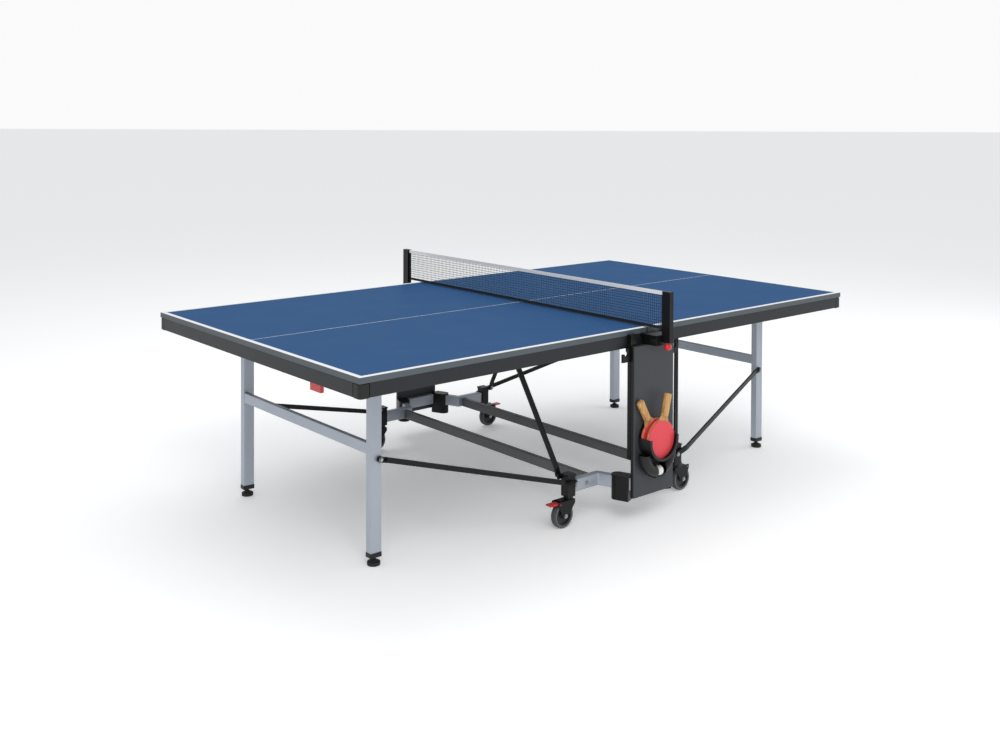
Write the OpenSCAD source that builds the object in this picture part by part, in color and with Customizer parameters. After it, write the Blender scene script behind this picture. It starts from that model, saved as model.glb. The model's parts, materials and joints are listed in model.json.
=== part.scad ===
// Ping pong table with two folding halves on a wheeled chassis.
// Millimetres, +Z up. The origin is on the floor under the middle of the table.
// X runs along the table and Y across it, with the near long side at -Y.

/* [Table top] */
// Length of the playing surface
table_length = 2740; // [2600:10:2800]
// Width of the playing surface
table_width = 1525; // [1400:5:1560]
// Height of the playing surface above the floor
table_height = 760; // [750:1:770]
// Thickness of the board
board_thickness = 22; // [16:1:26]
// Half of the gap between the two boards
half_gap = 5; // [3:1:8]
// Depth of the steel rim under the board
rim_depth = 48; // [36:1:54]
// Width of a rim rail
rim_width = 20; // [16:1:24]

/* [Net] */
// Height of the net above the playing surface
net_height = 152.5; // [150:0.5:155]
// Half of the span between the net posts
net_half_span = 849; // [840:1:860]
// Thickness of the net
net_thickness = 3; // [2:0.5:4]
// Radius of the clamp knob
knob_radius = 15; // [12:1:16]

/* [Legs] */
// Distance of a leg from the middle, along the table
leg_x = 1115; // [1105:1:1120]
// Distance of a leg from the middle, across the table
leg_y = 470; // [468:1:472]
// Leg tube size along the table
leg_size_x = 45; // [40:1:46]
// Leg tube size across the table
leg_size_y = 30; // [26:1:30]
// Radius of a levelling foot
foot_radius = 24; // [18:1:28]

/* [Chassis] */
// Distance of a caster post from the middle, along the table
post_x = 316; // [316:1:318]
// Distance of a caster post from the middle, across the table
post_y = 640; // [638:1:640]
// Radius of a caster wheel
wheel_radius = 50; // [46:1:50]
// Width of a caster tyre
wheel_width = 28; // [22:1:30]
// Distance of the axle outwards from the swivel
wheel_trail = 33; // [28:1:34]

/* [Side panels] */
// Half of the width of a side panel
panel_half_width = 118; // [112:1:120]
// Height of the lower edge of a side panel
panel_low = 103; // [95:1:110]
// Height of the upper edge of a side panel
panel_high = 700; // [690:1:700]

/* [Hidden] */
$fn = 64;

half_length = table_length / 2;
half_width = table_width / 2;
board_low = table_height - board_thickness;
rim_low = board_low - rim_depth;
// Radial play of a pin in its bore
play = 0.08;
// Gap kept between rails that meet end to end
joint_gap = 0.2;
cap_size = 40;

// Fold pivot of a half: distance from the middle, height and pin radius
pivot_x = 100;
pivot_z = 730;
pivot_r = 6;

// Strut: upper pin on the half and lower pin on the chassis, as [x, z]
strut_top = [494, 706];
strut_base = [345, 200];
// Leg rod: pin on the chassis and pin on the leg, as [x, z]
rod_base = [300, 168];
rod_end = [1104, 380];
leg_hinge_z = 700;

red = [0.72, 0.02, 0.02];
black = [0.04, 0.04, 0.045];
steel_dark = [0.20, 0.22, 0.24];
silver = [0.66, 0.70, 0.75];

// The pair of limits at a distance on both sides of c
function around(c, half) = [c - half, c + half];

// A pair of limits moved by c
function shift(c, limits) = [c + limits[0], c + limits[1]];

// A box between the given pairs of limits
module block(x, y, z) {
    translate([min(x), min(y), min(z)])
        cube([abs(x[1] - x[0]), abs(y[1] - y[0]), abs(z[1] - z[0])]);
}

// A round bar along Y between the two given y values
module bar_y(x, y, z, r) {
    translate([x, min(y), z])
        rotate([-90, 0, 0])
            cylinder(h = abs(y[1] - y[0]), r = r);
}

// An upright round bar between the two given z values
module bar_z(x, y, z, r) {
    translate([x, y, min(z)])
        cylinder(h = abs(z[1] - z[0]), r = r);
}

// A flat link from p to q, both [x, z], whose ends lie at different distances across the table
module link(p, q, yp, yq, w, flat_p, flat_q, rp) {
    len = norm(q - p);
    angle = atan2(q[1] - p[1], q[0] - p[0]);
    thick = abs(yp[1] - yp[0]);
    mid_p = (yp[0] + yp[1]) / 2;
    mid_q = (yq[0] + yq[1]) / 2;
    run = len - flat_p - flat_q;
    eye = w / 2 + 1;
    difference() {
        union() {
            translate([p[0], 0, p[1]])
                rotate([0, -angle, 0]) {
                    block([0, flat_p], yp, around(0, w / 2));
                    block([len - flat_q, len], yq, around(0, w / 2));
                    translate([flat_p, mid_p, 0])
                        rotate([0, 0, atan2(mid_q - mid_p, run)])
                            block([-3, norm([run, mid_q - mid_p]) + 3], around(0, thick / 2 - 0.2),
                                  around(0, w / 2 - 0.5));
                }
            bar_y(p[0], yp, p[1], eye);
            bar_y(q[0], yq, q[1], eye);
        }
        if (rp > 0) {
            bar_y(p[0], [min(yp) - 2, max(yp) + 2], p[1], rp);
        }
    }
}

// ---- Folding half: s is -1 for the left one and 1 for the right one ----

module half_top(s) {
    color([0.17, 0.36, 0.54])
        block(s * [half_gap, half_length], [-half_width, half_width], [board_low, table_height]);
}

module half_rim(s) {
    inner = half_width - rim_width;
    color(steel_dark) {
        for (t = [-1, 1])
            difference() {
                block(s * [half_gap, half_length - cap_size - joint_gap], t * [inner, half_width],
                      [rim_low, board_low]);
                bar_y(s * pivot_x, t * [inner - 1, half_width + 1], pivot_z, pivot_r + play);
            }
        block(s * [half_gap, half_gap + rim_width], (inner - joint_gap) * [-1, 1],
              [rim_low, board_low]);
        // End rail with the two lugs that carry the latch handle
        difference() {
            union() {
                block(s * [half_length - rim_width, half_length],
                      (half_width - cap_size - joint_gap) * [-1, 1], [rim_low, board_low]);
                for (y = [410, 486])
                    block(s * [half_length - 44, half_length - rim_width], s * [y, y + 4],
                          [684, board_low]);
            }
            bar_y(s * (half_length - 32), s * [405, 495], 696, 4 + play);
        }
    }
}

// Hinge bracket of one leg, with its pin
module leg_bracket(s, t) {
    outer = leg_y + leg_size_y / 2 + 1.5;
    inner = leg_y - leg_size_y / 2 - 1.5;
    half = 22;
    block(s * [leg_x - half, leg_x + half], t * [outer, outer + 6], [684, board_low]);
    block(s * [leg_x - half, leg_x + half], t * [inner - 6, inner], [684, board_low]);
    block(s * [leg_x - half, leg_x + half], t * [inner - 6, outer + 6], [734, board_low]);
    bar_y(s * leg_x, t * [inner - 9, outer + 7], leg_hinge_z, 5);
}

// Short rail that carries the upper end of a strut
module strut_rail(s, t) {
    x = strut_top[0];
    z = strut_top[1];
    difference() {
        union() {
            block(s * [x - 10, x + 10], t * [486, half_width - rim_width - joint_gap],
                  [z + 16, board_low]);
            block(s * [x - 12, x + 12], t * [486, 495], [z - 12, board_low]);
        }
        bar_y(s * x, t * [480, 500], z, 5 + play);
    }
}

module half_cross_rails(s) {
    inner = half_width - rim_width - joint_gap;
    color(steel_dark) {
        for (x = [330, 1150])
            block(s * [x, x + 24], [-inner, inner], [board_low - 34, board_low]);
        for (t = [-1, 1]) {
            leg_bracket(s, t);
            strut_rail(s, t);
        }
    }
}

module half_corner_caps(s) {
    r = 14;
    x0 = half_length - cap_size;
    y0 = half_width - cap_size;
    color(black)
        for (t = [-1, 1]) {
            block(s * [x0, half_length - r], t * [y0, half_width], [rim_low - 3, board_low]);
            block(s * [x0, half_length], t * [y0, half_width - r], [rim_low - 3, board_low]);
            bar_z(s * (half_length - r), t * (half_width - r), [rim_low - 3, board_low], r);
        }
}

module half_slide_blocks(s) {
    color(black)
        for (t = [-1, 1]) {
            block(s * around(pivot_x, 11.5), t * [766, 777.5], around(pivot_z, 12));
            bar_y(s * pivot_x, t * [half_width - 18, 768], pivot_z, pivot_r);
        }
}

// Each strut carries its pins: a shaft at the top and a bolt head at the open lower end
module half_struts(s) {
    color(black)
        for (t = [-1, 1]) {
            link([s * strut_base[0], strut_base[1]], [s * strut_top[0], strut_top[1]],
                 t * [608, 616], t * [496, 504], 22, 30, 28, 0);
            bar_y(s * strut_top[0], t * [485.6, 497], strut_top[1], 5);
            bar_y(s * strut_base[0], t * [603, 609], strut_base[1], 8);
        }
}

module half_leg_rods(s) {
    color(black)
        for (t = [-1, 1]) {
            link([s * rod_base[0], rod_base[1]], [s * rod_end[0], rod_end[1]],
                 t * [662, 670], t * [488, 496], 20, 65, 30, 4.5 + play);
            bar_y(s * rod_end[0], t * [495, 501], rod_end[1], 7);
        }
}

module half_legs(s) {
    color(silver)
        for (t = [-1, 1])
            difference() {
                block(s * around(leg_x, leg_size_x / 2), t * around(leg_y, leg_size_y / 2),
                      [30, leg_hinge_z + 14]);
                bar_y(s * leg_x, t * [leg_y - 20, leg_y + 20], leg_hinge_z, 5 + play);
                bar_z(s * leg_x, t * leg_y, [20, 72], 5 + play);
            }
}

module half_leg_bar(s) {
    color(silver)
        block(s * shift(leg_x, [leg_size_x / 2 - 20, leg_size_x / 2]),
              (leg_y - leg_size_y / 2) * [-1, 1], [396, 438]);
}

module half_latch(s) {
    color(red) {
        bar_y(s * (half_length - 32), s * [408, 492], 696, 4);
        block(s * [half_length - 39, half_length - 25], s * [415, 485], [652, 703]);
    }
}

module foot(s, t) {
    color(black) {
        bar_z(s * leg_x, t * leg_y, [0, 13], foot_radius);
        bar_z(s * leg_x, t * leg_y, [13, 20], 12);
        bar_z(s * leg_x, t * leg_y, [19, 68], 5);
    }
}

// ---- Chassis: t is -1 for the near side and 1 for the far side ----

// Plan of the crosspiece, which steps outwards to pass behind the side panel
module crosspiece_plan(t) {
    outer = post_y + 15;
    inner = post_y - 15;
    end = post_x - 20;
    polygon([
        [end, t * outer],
        [165.3, t * outer],
        [115.3, t * 784],
        [-115.3, t * 784],
        [-165.3, t * outer],
        [-end, t * outer],
        [-end, t * inner],
        [-144.7, t * inner],
        [-94.7, t * 754],
        [94.7, t * 754],
        [144.7, t * inner],
        [end, t * inner]
    ]);
}

module crosspiece(t) {
    color(silver)
        translate([0, 0, 130])
            linear_extrude(height = 50)
                crosspiece_plan(t);
}

// Foot block that wraps a slanting stretch of the crosspiece beside the panel
module foot_block(s, t) {
    color(black)
        difference() {
            translate([s * 112.5, t * 748, 0])
                rotate([0, 0, s * t * 21.2])
                    union() {
                        block([-27, 27], [-26, 26], [88, 186]);
                        bar_z(0, t * -26, [88, 186], 27);
                    }
            translate([0, 0, 129.9])
                linear_extrude(height = 50.2)
                    crosspiece_plan(t);
        }
}

module beam(s) {
    color(steel_dark)
        block(s * [168, 192], (post_y - 15) * [-1, 1], [130, 170]);
}

// Caster post with the ear for the strut and the pin for the leg rod
module caster_post(s, t) {
    difference() {
        union() {
            block(s * around(post_x, 20), t * around(post_y, 20), [118, 199]);
            block(s * around(post_x, 22), t * around(post_y, 22), [199, 205]);
            block(s * [post_x + 20, strut_base[0] + 12], t * [618, 626],
                  shift(strut_base[1], [-14, 5]));
            block(s * around(rod_base[0], 12), t * [post_y + 15, 661], [156, 180]);
            bar_y(s * rod_base[0], t * [658, 672.5], rod_base[1], 4.5);
        }
        bar_z(s * post_x, t * post_y, [110, 165], 9 + play);
    }
}

module caster_posts() {
    color(black)
        for (s = [-1, 1])
            for (t = [-1, 1])
                caster_post(s, t);
}

module fork(s, t) {
    axle_x = post_x + wheel_trail;
    color(black)
        difference() {
            union() {
                bar_z(s * post_x, t * post_y, [106, 117], 19);
                bar_z(s * post_x, t * post_y, [106, 160], 9);
                block(s * [298, 384], t * around(post_y, 21), [103, 108]);
                for (y = [-21, 18])
                    translate([0, t * post_y + y + 3, 0])
                        rotate([90, 0, 0])
                            linear_extrude(height = 3)
                                polygon([
                                    [s * 298, 108],
                                    [s * 384, 108],
                                    [s * 384, 92],
                                    [s * (axle_x + 12), 42],
                                    [s * (axle_x - 12), 42],
                                    [s * 298, 94]
                                ]);
                bar_y(s * axle_x, t * around(post_y, 24), wheel_radius, 4);
            }
            // Room for the brake pedal between the plates
            block(s * [368, 390], t * around(post_y, 17.9), [90, 110]);
            bar_y(s * 376, t * around(post_y, 30), 99, 3 + play);
        }
}

module tyre(s, t) {
    w = wheel_width / 2;
    color([0.42, 0.43, 0.45])
        translate([s * (post_x + wheel_trail), t * post_y, wheel_radius])
            rotate([90, 0, 0])
                rotate_extrude()
                    polygon([
                        [wheel_radius - 11, -w],
                        [wheel_radius - 4, -w],
                        [wheel_radius, -w + 5],
                        [wheel_radius, w - 5],
                        [wheel_radius - 4, w],
                        [wheel_radius - 11, w]
                    ]);
}

module wheel(s, t) {
    x = s * (post_x + wheel_trail);
    y = t * post_y;
    w = wheel_width / 2;
    color(black)
        difference() {
            bar_y(x, [y - w + 1, y + w - 1], wheel_radius, wheel_radius - 11);
            bar_y(x, [y - w, y + w], wheel_radius, 4 + play);
            for (k = [-1, 1])
                difference() {
                    bar_y(x, shift(y, k * [6, w]), wheel_radius, wheel_radius - 17);
                    bar_y(x, shift(y, k * [5, w + 1]), wheel_radius, 14);
                }
        }
}

module brake(s, t) {
    color(red) {
        bar_y(s * 376, t * around(post_y, 22.5), 99, 3);
        bar_y(s * 376, t * around(post_y, 16), 99, 5);
        block(s * [376, 422], t * around(post_y, 15), [98, 104]);
    }
}

// Side panel with rounded upright edges
module panel(t) {
    r = 8;
    w = panel_half_width;
    color([0.24, 0.26, 0.28]) {
        block([-w + r, w - r], t * [784, 802], [panel_low, panel_high]);
        block([-w, w], t * [784, 802 - r], [panel_low, panel_high]);
        for (s = [-1, 1])
            bar_z(s * (w - r), t * (802 - r), [panel_low, panel_high], r);
    }
}

// Two channels in which the blocks of the halves slide, each with a hook for the latch,
// and the two foot blocks under them
module guides(t) {
    low = 262;
    high = 745;
    color(black)
        for (s = [-1, 1]) {
            block(s * [84, 118], t * [778, 784], [low, high]);
            block(s * [84, 88], t * [766, 784], [low, high]);
            block(s * [112, 118], t * [766, 784], [low, high]);
            block(s * [84, 118], t * [766, 784], [low - 8, low]);
            difference() {
                block(s * [112, 162], t * [774, 784], [640, 694]);
                bar_y(s * 142, t * [770, 790], 672, 10);
                block(s * [138, 170], t * [770, 790], [672, 700]);
            }
            foot_block(s, t);
        }
}

module net_post(t) {
    top = table_height + net_height + 1.5;
    color(black)
        difference() {
            union() {
                block([-45, 45], t * [768, net_half_span + 1], [726, 742]);
                block([-40, 40], t * [784, 846], [panel_high, 726]);
                block([-11, 11], t * [net_half_span, net_half_span + 40], [713, top]);
            }
            bar_z(0, t * (net_half_span + 21), [705, 745], 4 + play);
        }
}

module knob(t) {
    y = t * (net_half_span + 21);
    color(red) {
        translate([0, y, 712 - knob_radius])
            sphere(r = knob_radius);
        bar_z(0, y, [704, 742], 4);
    }
}

// Half-round cup for two bats, and the ball tube that runs round it
module holder(t) {
    hx = t * 10;
    cup_z = 330;
    tube_z = 276;
    tube_y = t * 830;
    tube_ring = 74;
    color(black) {
        difference() {
            bar_y(hx, t * [802, 864], cup_z, 83);
            bar_y(hx, t * [806, 870], cup_z, 78.5);
            block(shift(hx, [-100, 100]), t * [806, 870], [cup_z + 10, cup_z + 100]);
            block(shift(hx, [-100, 100]), t * [800, 870], [cup_z + 60, cup_z + 100]);
        }
        difference() {
            bar_y(hx, t * [864, 867], cup_z, 83);
            bar_y(hx, t * [860, 870], cup_z, 72);
            block(shift(hx, [-100, 100]), t * [860, 870], [cup_z + 10, cup_z + 100]);
        }
        difference() {
            translate([hx, tube_y, tube_z])
                rotate([90, 180, 0])
                    rotate_extrude(angle = 180)
                        translate([tube_ring, 0])
                            difference() {
                                circle(r = 23);
                                circle(r = 21);
                            }
            // The bottom of the tube is open, so that a ball can be taken out
            block(shift(t * 4, [-23, 23]), t * [800, 860], [160, 250]);
            bar_y(hx, t * [800, 862], cup_z, 82);
        }
        // Cradle that joins the two arms of the tube under the ball
        difference() {
            block(shift(t * 4, [-28, 28]), t * [802, 840], [177, 214]);
            bar_y(t * 4, t * [800, 850], 202, 21.5);
            block(shift(t * 4, [-40, 40]), t * [800, 850], [202, 232]);
        }
    }
}

module net_sheet() {
    color([0.05, 0.07, 0.11])
        block(net_thickness / 2 * [-1, 1], (net_half_span - 0.2) * [-1, 1],
              [table_height + 2, table_height + net_height]);
}

// A bat with its blade at c = [x, z], leaning so that the handle points along the given angle
module bat_blade(c, y, lean) {
    color([0.80, 0.10, 0.13])
        difference() {
            translate([c[0], 0, c[1]])
                rotate([0, lean, 0]) {
                    bar_y(0, y, 0, 76);
                    block([-24, 24], y, [40, 84]);
                }
            translate([c[0], 0, c[1]])
                rotate([0, lean, 0])
                    block([-14.2, 14.2], [min(y) - 6, max(y) + 6], [70, 90]);
        }
}

module bat_handle(c, y, lean) {
    mid = (y[0] + y[1]) / 2;
    color([0.70, 0.47, 0.22])
        translate([c[0], 0, c[1]])
            rotate([0, lean, 0])
                block([-14, 14], around(mid, 8), [70.2, 176]);
}

module ball() {
    color([0.92, 0.92, 0.90])
        translate([-4, -830, 202])
            sphere(r = 20);
}

front_bat = [-10, 330];
front_bat_y = [-850, -838];
front_lean = 14.5;
back_bat = [-12, 331];
back_bat_y = [-824, -812];
back_lean = -30;

half_top(-1);  // left_top
half_rim(-1);  // left_rim
half_cross_rails(-1);  // left_cross_rails
half_corner_caps(-1);  // left_corner_caps
half_slide_blocks(-1);  // left_slide_blocks
half_struts(-1);  // left_struts
half_leg_rods(-1);  // left_leg_rods
half_legs(-1);  // left_legs
half_leg_bar(-1);  // left_leg_bar
half_latch(-1);  // left_latch
half_top(1);  // right_top
half_rim(1);  // right_rim
half_cross_rails(1);  // right_cross_rails
half_corner_caps(1);  // right_corner_caps
half_slide_blocks(1);  // right_slide_blocks
half_struts(1);  // right_struts
half_leg_rods(1);  // right_leg_rods
half_legs(1);  // right_legs
half_leg_bar(1);  // right_leg_bar
half_latch(1);  // right_latch
foot(-1, -1);  // near_left_foot
foot(-1, 1);  // far_left_foot
foot(1, -1);  // near_right_foot
foot(1, 1);  // far_right_foot
crosspiece(-1);  // near_crosspiece
crosspiece(1);  // far_crosspiece
beam(-1);  // left_beam
beam(1);  // right_beam
caster_posts();
fork(-1, -1);  // near_left_fork
tyre(-1, -1);  // near_left_tyre
wheel(-1, -1);  // near_left_wheel
brake(-1, -1);  // near_left_brake
fork(-1, 1);  // far_left_fork
tyre(-1, 1);  // far_left_tyre
wheel(-1, 1);  // far_left_wheel
fork(1, -1);  // near_right_fork
tyre(1, -1);  // near_right_tyre
wheel(1, -1);  // near_right_wheel
fork(1, 1);  // far_right_fork
tyre(1, 1);  // far_right_tyre
wheel(1, 1);  // far_right_wheel
brake(1, 1);  // far_right_brake
panel(-1);  // near_panel
panel(1);  // far_panel
guides(-1);  // near_guides
guides(1);  // far_guides
net_post(-1);  // near_net_post
net_post(1);  // far_net_post
knob(-1);  // near_knob
knob(1);  // far_knob
holder(-1);  // near_holder
holder(1);  // far_holder
net_sheet();  // net
bat_blade(front_bat, front_bat_y, front_lean);  // front_bat_blade
bat_handle(front_bat, front_bat_y, front_lean);  // front_bat_handle
bat_blade(back_bat, back_bat_y, back_lean);  // back_bat_blade
bat_handle(back_bat, back_bat_y, back_lean);  // back_bat_handle
ball();
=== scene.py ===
import json
import math

import bmesh
import bpy
from mathutils import Matrix, Vector


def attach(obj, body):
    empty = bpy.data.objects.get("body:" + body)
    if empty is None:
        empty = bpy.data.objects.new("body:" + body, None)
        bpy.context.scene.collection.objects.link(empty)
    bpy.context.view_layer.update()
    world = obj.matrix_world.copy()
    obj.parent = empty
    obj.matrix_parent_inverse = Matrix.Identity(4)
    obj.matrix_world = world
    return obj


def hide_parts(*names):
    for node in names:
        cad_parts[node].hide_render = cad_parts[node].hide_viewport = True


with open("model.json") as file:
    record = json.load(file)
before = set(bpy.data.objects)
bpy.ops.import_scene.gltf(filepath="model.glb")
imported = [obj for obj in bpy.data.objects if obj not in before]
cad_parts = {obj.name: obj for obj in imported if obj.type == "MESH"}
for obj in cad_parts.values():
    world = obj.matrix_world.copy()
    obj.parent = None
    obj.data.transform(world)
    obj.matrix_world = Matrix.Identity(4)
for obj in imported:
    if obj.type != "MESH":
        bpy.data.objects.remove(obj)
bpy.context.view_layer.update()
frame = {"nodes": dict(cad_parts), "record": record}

record = frame["record"]
BODY_OF = {n: b for b, nodes in record["behaviour"]["bodies"].items() for n in nodes}
SLOT_OF = {s["node"]: s["material_slot"] for s in record["subparts"]}

# All sizes are in metres: X along the table, Y across it, Z up
HALF_LENGTH, HALF_WIDTH = 1.370, 0.7625
EDGE_LINE, CENTRE_LINE = 0.020, 0.003
LEG_X, LEG_Y, LEG_HINGE_Z = 1.115, 0.470, 0.700
NET_SPAN, NET_LOW, NET_TOP, TAPE = 0.8488, 0.762, 0.9125, 0.015
WHEEL_X, WHEEL_Y, WHEEL_Z = 0.349, 0.640, 0.050
KNOB_Y = 0.870
BALL_RADIUS, BALL_PLACE = 0.020, (-0.004, -0.830, 0.202)

# Pivots and joints that show a bolt, on the side where X and Y are positive
LEG_PIN = (LEG_X, 0.4955, LEG_HINGE_Z)
STRUT_FOOT, STRUT_HEAD = (0.345, 0.6030, 0.200), (0.494, 0.5060, 0.706)
ROD_FOOT, ROD_HEAD = (0.300, 0.6730, 0.168), (1.104, 0.5000, 0.380)
CROSSPIECE_BOLT, CLAMP_BOLT = (0.230, 0.6560, 0.155), (0.034, 0.8000, 0.7125)
AXLE_NUT_Y = 0.0225


# ---- Materials ----

def grain_group():
    """Uneven shade, uneven gloss and a fine height, for every finish."""
    group = bpy.data.node_groups.new("Surface grain", "ShaderNodeTree")
    inputs = (("Color", "NodeSocketColor"), ("Shade", "NodeSocketFloat"),
              ("Scale", "NodeSocketFloat"), ("Roughness", "NodeSocketFloat"),
              ("Spread", "NodeSocketFloat"))
    for name, kind in inputs:
        group.interface.new_socket(name=name, in_out="INPUT", socket_type=kind)
    for name, kind in (("Color", "NodeSocketColor"), ("Roughness", "NodeSocketFloat"),
                       ("Height", "NodeSocketFloat")):
        group.interface.new_socket(name=name, in_out="OUTPUT", socket_type=kind)
    node = group.nodes.new
    link = group.links.new
    given, out = node("NodeGroupInput"), node("NodeGroupOutput")
    place = node("ShaderNodeTexCoord")
    broad, fine = node("ShaderNodeTexNoise"), node("ShaderNodeTexNoise")
    broad.inputs["Scale"].default_value = 6.0
    broad.inputs["Detail"].default_value = 4.0
    fine.inputs["Detail"].default_value = 2.0
    link(place.outputs["Object"], broad.inputs["Vector"])
    link(place.outputs["Object"], fine.inputs["Vector"])
    link(given.outputs["Scale"], fine.inputs["Scale"])
    shade = node("ShaderNodeMath")
    shade.operation = "MULTIPLY"
    link(broad.outputs["Fac"], shade.inputs[0])
    link(given.outputs["Shade"], shade.inputs[1])
    value = node("ShaderNodeMath")
    value.operation = "SUBTRACT"
    value.inputs[0].default_value = 1.0
    link(shade.outputs[0], value.inputs[1])
    tone = node("ShaderNodeHueSaturation")
    link(given.outputs["Color"], tone.inputs["Color"])
    link(value.outputs[0], tone.inputs["Value"])
    spread = node("ShaderNodeMath")
    spread.operation = "MULTIPLY_ADD"
    link(broad.outputs["Fac"], spread.inputs[0])
    link(given.outputs["Spread"], spread.inputs[1])
    link(given.outputs["Roughness"], spread.inputs[2])
    link(tone.outputs["Color"], out.inputs["Color"])
    link(spread.outputs[0], out.inputs["Roughness"])
    link(fine.outputs["Fac"], out.inputs["Height"])
    return group


GRAIN = grain_group()


def material(name, color, roughness, metallic=0.0, shade=0.10, scale=900.0, bump=0.15,
             spread=0.10, coat=0.0, sheen=0.0, specular=0.40):
    """A finish built on the shared grain; returns the material."""
    made = bpy.data.materials.new(name)
    made.use_nodes = True
    nodes, links = made.node_tree.nodes, made.node_tree.links
    shader = nodes["Principled BSDF"]
    shader.inputs["Metallic"].default_value = metallic
    shader.inputs["Specular IOR Level"].default_value = specular
    shader.inputs["Coat Weight"].default_value = coat
    shader.inputs["Sheen Weight"].default_value = sheen
    grain = nodes.new("ShaderNodeGroup")
    grain.name = "grain"
    grain.node_tree = GRAIN
    for key, value in (("Color", (*color, 1.0)), ("Shade", shade), ("Scale", scale),
                       ("Roughness", roughness), ("Spread", spread)):
        grain.inputs[key].default_value = value
    relief = nodes.new("ShaderNodeBump")
    relief.inputs["Strength"].default_value = bump
    relief.inputs["Distance"].default_value = 0.0004
    links.new(grain.outputs["Color"], shader.inputs["Base Color"])
    links.new(grain.outputs["Roughness"], shader.inputs["Roughness"])
    links.new(grain.outputs["Height"], relief.inputs["Height"])
    links.new(relief.outputs["Normal"], shader.inputs["Normal"])
    return made


def math_node(tree, operation, a, b=None):
    node = tree.nodes.new("ShaderNodeMath")
    node.operation = operation
    for socket, value in zip(node.inputs, (a, b)):
        if value is None:
            continue
        if isinstance(value, (int, float)):
            socket.default_value = value
        else:
            tree.links.new(value, socket)
    return node.outputs[0]


def axes_of(tree):
    place = tree.nodes.new("ShaderNodeTexCoord")
    split = tree.nodes.new("ShaderNodeSeparateXYZ")
    tree.links.new(place.outputs["Object"], split.inputs[0])
    return split.outputs


def add_court_lines(made):
    """White lines along the edges and the middle of the playing surface."""
    tree = made.node_tree
    x, y, _ = axes_of(tree)
    x, y = math_node(tree, "ABSOLUTE", x), math_node(tree, "ABSOLUTE", y)
    ends = math_node(tree, "GREATER_THAN", x, HALF_LENGTH - EDGE_LINE)
    sides = math_node(tree, "GREATER_THAN", y, HALF_WIDTH - EDGE_LINE)
    middle = math_node(tree, "LESS_THAN", y, CENTRE_LINE / 2)
    mask = math_node(tree, "MAXIMUM", math_node(tree, "MAXIMUM", ends, sides), middle)
    mix = tree.nodes.new("ShaderNodeMix")
    mix.data_type = "RGBA"
    mix.inputs["B"].default_value = (0.86, 0.87, 0.88, 1.0)
    tree.links.new(mask, mix.inputs["Factor"])
    tree.links.new(tree.nodes["grain"].outputs["Color"], mix.inputs["A"])
    tree.links.new(mix.outputs["Result"], tree.nodes["Principled BSDF"].inputs["Base Color"])


def add_net_holes(made, pitch=0.0110, thread=0.0015):
    """Square mesh: clear between the threads."""
    tree = made.node_tree
    _, y, z = axes_of(tree)
    solid = []
    for axis in (y, z):
        place = math_node(tree, "MODULO", math_node(tree, "ADD", axis, 2.0), pitch)
        solid.append(math_node(tree, "LESS_THAN", place, thread))
    tree.links.new(math_node(tree, "MAXIMUM", *solid), tree.nodes["Principled BSDF"].inputs["Alpha"])


def add_wood_grain(made, light, dark):
    """Long grain on a bat's wood."""
    tree = made.node_tree
    place = tree.nodes.new("ShaderNodeTexCoord")
    turn = tree.nodes.new("ShaderNodeMapping")
    turn.inputs["Scale"].default_value = (140.0, 140.0, 9.0)
    noise = tree.nodes.new("ShaderNodeTexNoise")
    noise.inputs["Scale"].default_value = 1.0
    noise.inputs["Detail"].default_value = 3.0
    ramp = tree.nodes.new("ShaderNodeValToRGB")
    ramp.color_ramp.elements[0].position, ramp.color_ramp.elements[1].position = 0.35, 0.70
    ramp.color_ramp.elements[0].color = (*dark, 1.0)
    ramp.color_ramp.elements[1].color = (*light, 1.0)
    tree.links.new(place.outputs["Object"], turn.inputs["Vector"])
    tree.links.new(turn.outputs["Vector"], noise.inputs["Vector"])
    tree.links.new(noise.outputs["Fac"], ramp.inputs["Fac"])
    tree.links.new(ramp.outputs["Color"], tree.nodes["Principled BSDF"].inputs["Base Color"])


FINISH = {
    "playing_blue": material("Matt blue playing paint", (0.009, 0.080, 0.225), 0.52, bump=0.06,
                             shade=0.04, scale=1500.0, specular=0.10),
    "dark_steel": material("Dark grey powder coat", (0.017, 0.020, 0.024), 0.36, shade=0.15,
                           specular=0.30),
    "black_steel": material("Black powder coat", (0.004, 0.004, 0.0045), 0.30, shade=0.15,
                            specular=0.28),
    "silver_steel": material("Silver powder coat", (0.42, 0.46, 0.52), 0.34, metallic=0.35,
                             shade=0.08),
    "black_plastic": material("Black moulded plastic", (0.006, 0.006, 0.0065), 0.38, scale=1400.0),
    "panel_grey": material("Grained grey plastic", (0.043, 0.048, 0.055), 0.46, scale=1800.0,
                           bump=0.30),
    "red_plastic": material("Glossy red plastic", (0.62, 0.008, 0.010), 0.22, coat=0.4),
    "grey_tyre": material("Grey tyre rubber", (0.060, 0.062, 0.066), 0.58, scale=700.0, bump=0.3),
    "rubber_foot": material("Black foot rubber", (0.012, 0.012, 0.012), 0.60, bump=0.3),
    "bat_rubber": material("Red bat rubber", (0.78, 0.045, 0.065), 0.42, shade=0.05, sheen=0.2),
    "bat_wood": material("Oiled bat wood", (0.60, 0.34, 0.13), 0.40, bump=0.2),
    "net_mesh": material("Black net thread", (0.010, 0.013, 0.020), 0.75, bump=0.4),
    "ball_white": material("Matt white ball", (0.85, 0.85, 0.82), 0.45, shade=0.03),
}
EDGE = material("Grey board edge", (0.085, 0.105, 0.118), 0.50)
TAPE_CLOTH = material("White net tape", (0.82, 0.82, 0.80), 0.80, scale=1600.0, bump=0.5,
                      sheen=0.3)
BEAM = material("Mid grey powder coat", (0.115, 0.115, 0.120), 0.38, shade=0.10)
HUB = material("Hub plastic", (0.020, 0.021, 0.023), 0.35)
SIDEWALL = material("Grey tyre side", (0.13, 0.135, 0.14), 0.50)
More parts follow.
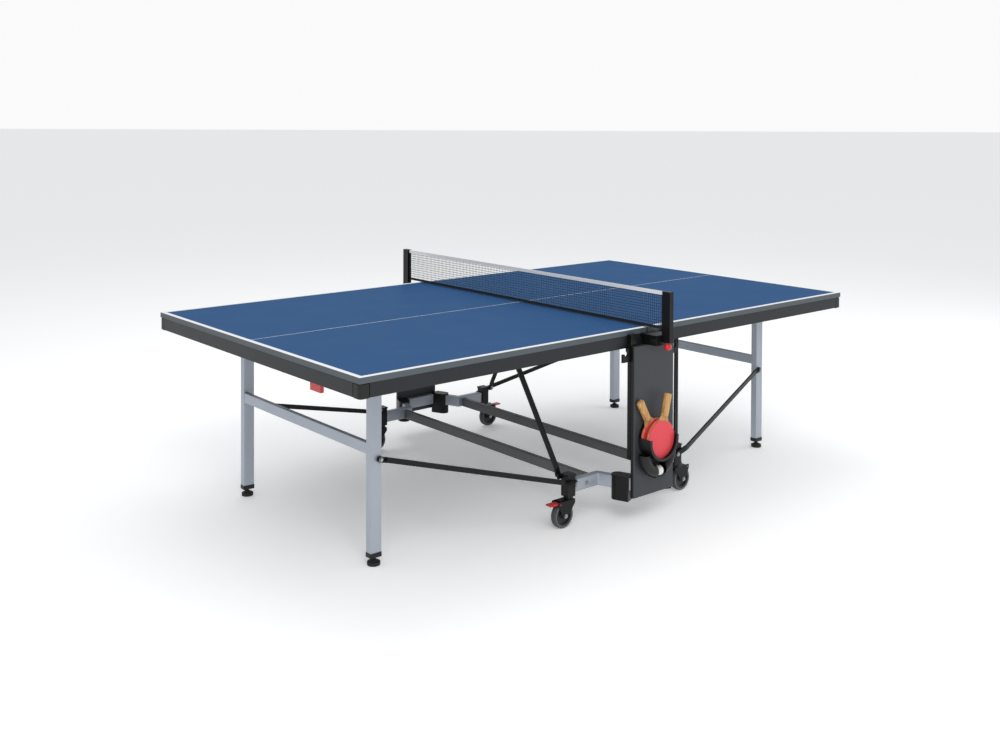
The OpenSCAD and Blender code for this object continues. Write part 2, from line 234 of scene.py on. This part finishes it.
BOLT = material("Zinc plated bolt", (0.45, 0.46, 0.47), 0.30, metallic=0.9)
add_court_lines(FINISH["playing_blue"])
add_net_holes(FINISH["net_mesh"])
add_wood_grain(FINISH["bat_wood"], (0.74, 0.44, 0.17), (0.42, 0.20, 0.06))
CORD = material("Black net cord", (0.010, 0.012, 0.016), 0.80, bump=0.4)


# ---- Mesh helpers ----

def piece(name, bm, body, finish, replaces=(), smooth_angle=35):
    """Turns a bmesh into a finished piece that rides on a body."""
    bmesh.ops.recalc_face_normals(bm, faces=bm.faces)
    mesh = bpy.data.meshes.new(name)
    bm.to_mesh(mesh)
    bm.free()
    for one in finish if isinstance(finish, (list, tuple)) else [finish]:
        mesh.materials.append(one)
    mesh.shade_smooth()
    mesh.set_sharp_from_angle(angle=math.radians(smooth_angle))
    obj = bpy.data.objects.new(name, mesh)
    bpy.context.scene.collection.objects.link(obj)
    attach(obj, body)
    if replaces:
        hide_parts(*replaces)
    return obj


def soften(obj, width, segments=2):
    """Rounds the sharp edges of a piece."""
    edges = obj.modifiers.new("Rounded edges", "BEVEL")
    edges.width = width
    edges.segments = segments
    edges.limit_method = "ANGLE"
    edges.angle_limit = math.radians(40)
    edges.harden_normals = True
    return obj


def merged(node):
    """A cleaned copy of a CAD node's mesh."""
    bm = bmesh.new()
    bm.from_mesh(frame["nodes"][node].data)
    bmesh.ops.remove_doubles(bm, verts=bm.verts, dist=1e-6)
    bmesh.ops.dissolve_limit(bm, angle_limit=math.radians(0.5), verts=bm.verts, edges=bm.edges,
                             delimit=set())
    return bm


def from_cad(node, width, finish=None):
    """The CAD node with rounded edges, in place of the plain one."""
    obj = piece(node + "_finished", merged(node), BODY_OF[node], finish or FINISH[SLOT_OF[node]],
                [node])
    return soften(obj, width)


def add_box(bm, x, y, z):
    size = (abs(x[1] - x[0]), abs(y[1] - y[0]), abs(z[1] - z[0]))
    centre = (sum(x) / 2, sum(y) / 2, sum(z) / 2)
    place = Matrix.Translation(centre) @ Matrix.Diagonal((*size, 1.0))
    return bmesh.ops.create_cube(bm, size=1.0, matrix=place)["verts"]


TURN = {"X": Matrix.Rotation(math.pi / 2, 4, "Y"), "Y": Matrix.Rotation(math.pi / 2, 4, "X"),
        "Z": Matrix.Identity(4)}


def add_round(bm, centre, axis, radius, length, segments=32, end_radius=None):
    place = Matrix.Translation(centre) @ TURN[axis]
    return bmesh.ops.create_cone(bm, cap_ends=True, segments=segments, radius1=radius,
                                 radius2=radius if end_radius is None else end_radius,
                                 depth=length, matrix=place)["verts"]


def bolts(name, body, places, finish=BOLT):
    """Hexagon heads on washers; each place is (centre, axis, radius)."""
    washer_share, washer_length, head_length = 1.45, 0.0016, 0.0090
    bm = bmesh.new()
    for centre, axis, radius in places:
        add_round(bm, centre, axis, radius * washer_share, washer_length, 24)
        add_round(bm, centre, axis, radius, head_length, 6)
    return soften(piece(name, bm, body, finish), 0.0004, 1)


def mirrored(place, s, t):
    """A place on the positive side, moved to side s of X and side t of Y."""
    return (s * place[0], t * place[1], place[2])


# ---- Every CAD node, with rounded edges ----

ROUNDING = {"rim": 0.0025, "corner_caps": 0.004, "legs": 0.003, "leg_bar": 0.003, "beam": 0.003,
            "crosspiece": 0.004, "panel": 0.003, "holder": 0.0008, "fork": 0.0008,
            "struts": 0.0012, "leg_rods": 0.0015, "foot": 0.002, "wheel": 0.001, "tyre": 0.002,
            "brake": 0.0015, "latch": 0.003, "net_post": 0.0015, "guides": 0.0008,
            "cross_rails": 0.0012, "caster_posts": 0.0025, "slide_blocks": 0.001}
# The panel's second finish, black plastic, is painted shade on its narrow sides
OTHER_FINISH = {"wheel": HUB, "beam": BEAM, "panel": [FINISH["panel_grey"],
                                                      FINISH["black_plastic"]]}
OWN_SHAPE = ("left_top", "right_top", "net", "ball", "front_bat_blade", "front_bat_handle",
             "back_bat_blade", "back_bat_handle", "near_knob", "far_knob")
for node in sorted(frame["nodes"]):
    if node in OWN_SHAPE:
        continue
    width = next((w for end, w in ROUNDING.items() if node.endswith(end)), 0.001)
    from_cad(node, width, OTHER_FINISH.get(node.split("_")[-1]))


# The flat sides of the tyres are a lighter grey than their tread
for node in sorted(frame["nodes"]):
    if node.endswith("_tyre"):
        tyre = bpy.data.objects[node + "_finished"].data
        tyre.materials.append(SIDEWALL)
        for face in tyre.polygons:
            face.material_index = 1 if abs(face.normal.y) > 0.8 else 0

# Painted shade: the narrow sides of the side panels are given black plastic for the shade that falls
# on them
for end in ("near", "far"):
    sides = bpy.data.objects[end + "_panel_finished"].data
    for face in sides.polygons:
        face.material_index = 1 if abs(face.normal.x) > 0.8 else 0


# ---- Boards: playing paint on top, grey edge all round ----

for side in ("left", "right"):
    bm = merged(side + "_top")
    board = piece(side + "_board", bm, BODY_OF[side + "_top"], [EDGE, FINISH["playing_blue"]],
                  [side + "_top"])
    for face in board.data.polygons:
        face.material_index = 1 if face.normal.z > 0.9 else 0
    soften(board, 0.0015)


# ---- Net, its tape and its cord ----

bm = bmesh.new()
across, upright = 340, 30
grid = bmesh.ops.create_grid(bm, x_segments=across, y_segments=upright, size=0.5)["verts"]
for v in grid:
    y, z = v.co.x * 2 * NET_SPAN, NET_LOW + (v.co.y + 0.5) * (NET_TOP - NET_LOW)
    slack = (NET_TOP - z) / (NET_TOP - NET_LOW)
    v.co = Vector((0.0009 * slack * math.sin(9 * y + 14 * slack), y, z))
net = piece("net_cloth", bm, "chassis", FINISH["net_mesh"], ["net"])
thickness = net.modifiers.new("Thread thickness", "SOLIDIFY")
thickness.thickness = 0.0006
thickness.offset = 0.0
bm = bmesh.new()
add_box(bm, (-0.0017, 0.0017), (-NET_SPAN, NET_SPAN), (NET_TOP - TAPE, NET_TOP + 0.0004))
tape = soften(piece("net_tape", bm, "chassis", TAPE_CLOTH), 0.0012)
bm = bmesh.new()
add_round(bm, (0, 0, NET_LOW + 0.002), "Y", 0.0022, 2 * NET_SPAN, 12)
add_box(bm, (-0.0014, 0.0014), (-NET_SPAN, NET_SPAN), (NET_LOW + 0.002, NET_LOW + 0.010))
for t in (-1, 1):
    add_box(bm, (-0.0015, 0.0015), (t * (NET_SPAN - 0.010), t * NET_SPAN),
            (NET_LOW, NET_TOP - TAPE))
cord = piece("net_cord", bm, "chassis", CORD)


# ---- Bats ----

def bat(name, centre, lean, y):
    """A bat with its blade round centre = (x, z); y is the middle of its thickness."""
    body = name + "_bat"
    blade_radius, ply, around = 0.0755, 0.0055, 96
    rubber_radius, rubber_y, rubber_thickness, rubber_top = 0.0748, 0.0048, 0.0038, 0.069
    flare_from, flare = 0.12, 2.2
    place = (Matrix.Translation((centre[0], y, centre[1]))
             @ Matrix.Rotation(math.radians(lean), 4, "Y"))
    wood, rubber = bmesh.new(), bmesh.new()
    add_round(wood, (0, 0, 0), "Y", blade_radius, ply, around)
    neck = add_box(wood, (-0.5, 0.5), (-0.0027, 0.0027), (0.056, 0.100))
    for v in neck:
        v.co.x *= 0.070 if v.co.z < 0.07 else 0.026
    handle = add_box(wood, (-0.0135, 0.0135), (-0.0105, 0.0105), (0.086, 0.176))
    edges = {e for v in handle for e in v.link_edges}
    bmesh.ops.bevel(wood, geom=list(edges), offset=0.005, segments=4, profile=0.5,
                    affect="EDGES", material=-1)
    for v in wood.verts:
        if v.co.z > flare_from:
            v.co.x *= 1.0 + flare * (v.co.z - flare_from)
    for t in (-1, 1):
        add_round(rubber, (0, t * rubber_y, 0), "Y", rubber_radius, rubber_thickness, around)
    cut = bmesh.ops.bisect_plane(rubber, geom=rubber.verts[:] + rubber.edges[:] + rubber.faces[:],
                                 plane_co=(0, 0, rubber_top), plane_no=(0, 0, 1), clear_outer=True)
    bmesh.ops.holes_fill(rubber, edges=[e for e in cut["geom_cut"]
                                        if isinstance(e, bmesh.types.BMEdge)])
    for bm in (wood, rubber):
        bmesh.ops.transform(bm, matrix=Matrix.Diagonal((1.0, 1.0, 1.02, 1.0)), verts=bm.verts)
        bmesh.ops.transform(bm, matrix=place, verts=bm.verts)
    soften(piece(name + "_bat_wood", wood, body, FINISH["bat_wood"],
                 [name + "_bat_handle"]), 0.0008, 2)
    soften(piece(name + "_bat_rubber", rubber, body, FINISH["bat_rubber"],
                 [name + "_bat_blade"]), 0.0009, 2)


bat("front", (-0.010, 0.330), 14.5, -0.844)
bat("back", (-0.012, 0.331), -30.0, -0.818)


# ---- Ball and knobs ----

bm = bmesh.new()
bmesh.ops.create_uvsphere(bm, u_segments=48, v_segments=24, radius=BALL_RADIUS,
                          matrix=Matrix.Translation(BALL_PLACE))
piece("loose_ball", bm, "chassis", FINISH["ball_white"], ["ball"], 80)
for name, t in (("near", -1), ("far", 1)):
    bm = bmesh.new()
    bmesh.ops.create_uvsphere(bm, u_segments=40, v_segments=20, radius=0.015,
                              matrix=Matrix.Translation((0, t * KNOB_Y, 0.697)))
    add_round(bm, (0, t * KNOB_Y, 0.723), "Z", 0.004, 0.038, 24)
    add_round(bm, (0, t * KNOB_Y, 0.7105), "Z", 0.010, 0.004, 32)
    piece(name + "_knob_ball", bm, name + "_knob_body", FINISH["red_plastic"],
          [name + "_knob"], 60)


# ---- Small fittings ----

COLLAR_X, COLLAR_Y, COLLAR_WALL, COLLAR_Z = 0.0232, 0.0166, 0.0016, (0.029, 0.046)
for side, s in (("left", -1), ("right", 1)):
    bm = bmesh.new()
    for t in (-1, 1):
        leg_x, leg_y = s * LEG_X, t * LEG_Y
        for x in (leg_x - COLLAR_X, leg_x + COLLAR_X - COLLAR_WALL):
            add_box(bm, (x, x + COLLAR_WALL), (leg_y - COLLAR_Y, leg_y + COLLAR_Y), COLLAR_Z)
        for y in (leg_y - COLLAR_Y, leg_y + COLLAR_Y - COLLAR_WALL):
            add_box(bm, (leg_x - COLLAR_X, leg_x + COLLAR_X), (y, y + COLLAR_WALL), COLLAR_Z)
    piece(side + "_leg_collars", bm, side + "_leg_frame", FINISH["black_plastic"])
    bolts(side + "_half_bolts", side + "_half",
          [(mirrored(LEG_PIN, s, t), "Y", 0.007) for t in (-1, 1)])
    bolts(side + "_strut_bolts", side + "_strut_pair",
          [(mirrored(place, s, t), "Y", 0.006) for place in (STRUT_FOOT, STRUT_HEAD)
           for t in (-1, 1)])
    bolts(side + "_rod_bolts", side + "_rod_pair",
          [(mirrored(ROD_HEAD, s, t), "Y", 0.006) for t in (-1, 1)])
chassis_bolts = []
for s in (-1, 1):
    for t in (-1, 1):
        chassis_bolts.append((mirrored(ROD_FOOT, s, t), "Y", 0.006))
        chassis_bolts.append((mirrored(CROSSPIECE_BOLT, s, t), "Y", 0.006))
        chassis_bolts.append((mirrored(CLAMP_BOLT, s, t), "X", 0.0045))
bolts("chassis_bolts", "chassis", chassis_bolts)
for end, t in (("near", -1), ("far", 1)):
    for side, s in (("left", -1), ("right", 1)):
        bolts(f"{end}_{side}_axle_nuts", f"{end}_{side}_fork_body",
              [((s * WHEEL_X, t * WHEEL_Y + y, WHEEL_Z), "Y", 0.006)
               for y in (-AXLE_NUT_Y, AXLE_NUT_Y)])


# ---- Floor, light and camera ----

def plain(name, color, roughness, glow):
    made = bpy.data.materials.new(name)
    made.use_nodes = True
    shader = made.node_tree.nodes["Principled BSDF"]
    shader.inputs["Emission Color"].default_value = (1.0, 1.0, 1.0, 1.0)
    shader.inputs["Emission Strength"].default_value = glow
    shader.inputs["Base Color"].default_value = (*color, 1.0)
    shader.inputs["Roughness"].default_value = roughness
    return made


FLOOR_REACH, FLOOR_GLOW = 120.0, 0.22
FLOOR_DROP = 0.0005
bm = bmesh.new()
bmesh.ops.create_grid(bm, x_segments=1, y_segments=1, size=FLOOR_REACH)
mesh = bpy.data.meshes.new("floor")
bm.to_mesh(mesh)
bm.free()
mesh.materials.append(plain("Pale floor", (0.95, 0.95, 0.95), 0.75, FLOOR_GLOW))
floor = bpy.data.objects.new("floor", mesh)
floor.location.z = -FLOOR_DROP
bpy.context.scene.collection.objects.link(floor)

world = bpy.data.worlds.new("Studio")
world.use_nodes = True
studio = world.node_tree.nodes["Background"]
studio.inputs["Color"].default_value = (0.97, 0.98, 1.0, 1.0)
studio.inputs["Strength"].default_value = 0.62
backdrop = world.node_tree.nodes.new("ShaderNodeBackground")
backdrop.inputs["Color"].default_value = (0.96, 0.96, 0.96, 1.0)
path = world.node_tree.nodes.new("ShaderNodeLightPath")
blend = world.node_tree.nodes.new("ShaderNodeMixShader")
world.node_tree.links.new(path.outputs["Is Camera Ray"], blend.inputs["Fac"])
world.node_tree.links.new(studio.outputs["Background"], blend.inputs[1])
world.node_tree.links.new(backdrop.outputs["Background"], blend.inputs[2])
world.node_tree.links.new(blend.outputs["Shader"],
                          world.node_tree.nodes["World Output"].inputs["Surface"])
bpy.context.scene.world = world


def area_light(name, place, target, size, energy):
    light = bpy.data.lights.new(name, "AREA")
    light.energy = energy
    light.size = size
    obj = bpy.data.objects.new(name, light)
    obj.location = place
    obj.rotation_euler = (Vector(target) - Vector(place)).to_track_quat("-Z", "Y").to_euler()
    bpy.context.scene.collection.objects.link(obj)


area_light("Key light", (-3.2, -4.2, 4.6), (0, 0, 0.4), 3.0, 120)
area_light("Fill light", (4.5, -2.0, 3.2), (0, 0, 0.4), 3.5, 45)
area_light("Top light", (0.6, 2.0, 5.0), (0, 0, 0.5), 4.0, 60)

CAMERA_PLACE = (-3.36267, -3.77153, 1.61420)
SENSOR_WIDTH, LENS = 36.0, 40.362
yaw, pitch, roll = 0.872413, 0.017413, 0.003554
ahead = Vector((math.cos(yaw), math.sin(yaw), 0.0))
side = Vector((math.sin(yaw), -math.cos(yaw), 0.0))
up = Vector((0, 0, 1)) * math.cos(pitch) + ahead * math.sin(pitch)
look = ahead * math.cos(pitch) - Vector((0, 0, 1)) * math.sin(pitch)
right = side * math.cos(roll) + up * math.sin(roll)
top = up * math.cos(roll) - side * math.sin(roll)
camera_data = bpy.data.cameras.new("Camera")
camera_data.sensor_width = SENSOR_WIDTH
camera_data.lens = LENS
camera_data.shift_x = 0.01237
camera_data.shift_y = -0.24305
camera_data.clip_end = 100.0
camera = bpy.data.objects.new("Camera", camera_data)
turn = Matrix((right, top, -look)).transposed().to_4x4()
camera.matrix_world = Matrix.Translation(CAMERA_PLACE) @ turn
bpy.context.scene.collection.objects.link(camera)
bpy.context.scene.camera = camera
bpy.context.scene.view_settings.view_transform = "Standard"
